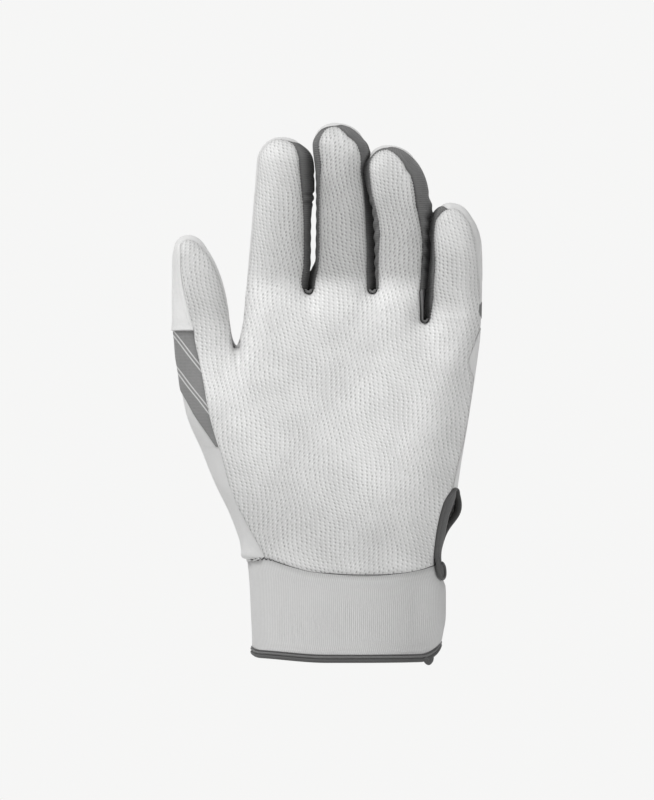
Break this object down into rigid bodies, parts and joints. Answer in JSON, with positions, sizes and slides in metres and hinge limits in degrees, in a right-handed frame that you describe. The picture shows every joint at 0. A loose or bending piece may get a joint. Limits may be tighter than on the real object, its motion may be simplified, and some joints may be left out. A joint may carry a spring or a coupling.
{
  "type": "batting glove",
  "caption": "Left-hand batting glove with an embossed leather palm, dark stretch side walls between the fingers, a ribbed cuff and a peel-back wrist strap",
  "frame": {"origin": "the middle of the wrist opening, level with the lower edge of the hem", "axes": "+X from the thumb side to the little finger side, +Y from the palm to the back of the hand, +Z from the hem to the fingertips"},
  "size_m": [0.1318, 0.0522, 0.228],
  "materials": {
    "palm_leather": "embossed with small dashes in wavy rows",
    "back_leather": "smooth, fine grain",
    "dark_stretch": "matt knitted stretch",
    "grey_stretch": "matt woven stretch with plain light lines",
    "side_fabric": "smooth brushed stretch",
    "cuff_rib": "fine vertical rib knit",
    "binding": "folded tape with a stitched groove",
    "loop_tape": "napped loop",
    "hook_tape": "hooked tape"
  },
  "bodies": {
    "hand": {"palm_panel": "palm_leather", "thenar_panel": "palm_leather", "back_panel": "back_leather", "thumb_stretch_panel": "grey_stretch", "thumb_side_gusset": "side_fabric", "index_middle_fork": "dark_stretch", "middle_ring_fork": "dark_stretch", "ring_little_fork": "dark_stretch", "index_knuckle_gusset": "dark_stretch", "middle_knuckle_gusset": "dark_stretch", "ring_knuckle_gusset": "dark_stretch", "little_knuckle_gusset": "dark_stretch", "cuff_front": "cuff_rib", "cuff_back": "back_leather", "hem_binding_front": "binding", "hem_binding_back": "binding", "slit_binding": "binding", "loop_patch": "loop_tape"},
    "index": {"index_front": "palm_leather", "index_back": "back_leather", "index_side_wall": "dark_stretch"},
    "middle": {"middle_front": "palm_leather", "middle_back": "back_leather", "middle_side_wall": "dark_stretch"},
    "ring": {"ring_front": "palm_leather", "ring_back": "back_leather", "ring_side_wall": "dark_stretch"},
    "little": {"little_front": "palm_leather", "little_back": "back_leather", "little_side_wall": "dark_stretch"},
    "thumb": {"thumb_front": "palm_leather", "thumb_back": "back_leather"},
    "strap": {"closure_strap": "back_leather", "hook_patch": "hook_tape", "pull_tab": "binding"}
  },
  "joints": [
    {"name": "index_bend", "type": "hinge", "parent": "hand", "child": "index", "pos_m": [-0.0286, -0.0124, 0.158], "axis": [1, 0, 0], "range_deg": [0, 75], "stiffness_Nm_per_rad": 0.02, "deforming": ["index_knuckle_gusset"]},
    {"name": "middle_bend", "type": "hinge", "parent": "hand", "child": "middle", "pos_m": [-0.0017, -0.0124, 0.158], "axis": [1, 0, 0], "range_deg": [0, 75], "stiffness_Nm_per_rad": 0.02, "deforming": ["middle_knuckle_gusset"]},
    {"name": "ring_bend", "type": "hinge", "parent": "hand", "child": "ring", "pos_m": [0.0231, -0.0124, 0.158], "axis": [1, 0, 0], "range_deg": [0, 75], "stiffness_Nm_per_rad": 0.02, "deforming": ["ring_knuckle_gusset"]},
    {"name": "little_bend", "type": "hinge", "parent": "hand", "child": "little", "pos_m": [0.0468, -0.0138, 0.1455], "axis": [1, 0, 0], "range_deg": [0, 75], "stiffness_Nm_per_rad": 0.02, "deforming": ["little_knuckle_gusset"]},
    {"name": "thumb_bend", "type": "hinge", "parent": "hand", "child": "thumb", "pos_m": [-0.0542, -0.0105, 0.1407], "axis": [0.8351, 0.5501, 0], "range_deg": [0, 45], "stiffness_Nm_per_rad": 0.02, "deforming": ["thumb_stretch_panel"]},
    {"name": "strap_peel", "type": "hinge", "parent": "hand", "child": "strap", "pos_m": [0.0434, 0.0004, 0.0205], "axis": [0, 0, -1], "range_deg": [0, 150]}
  ]
}
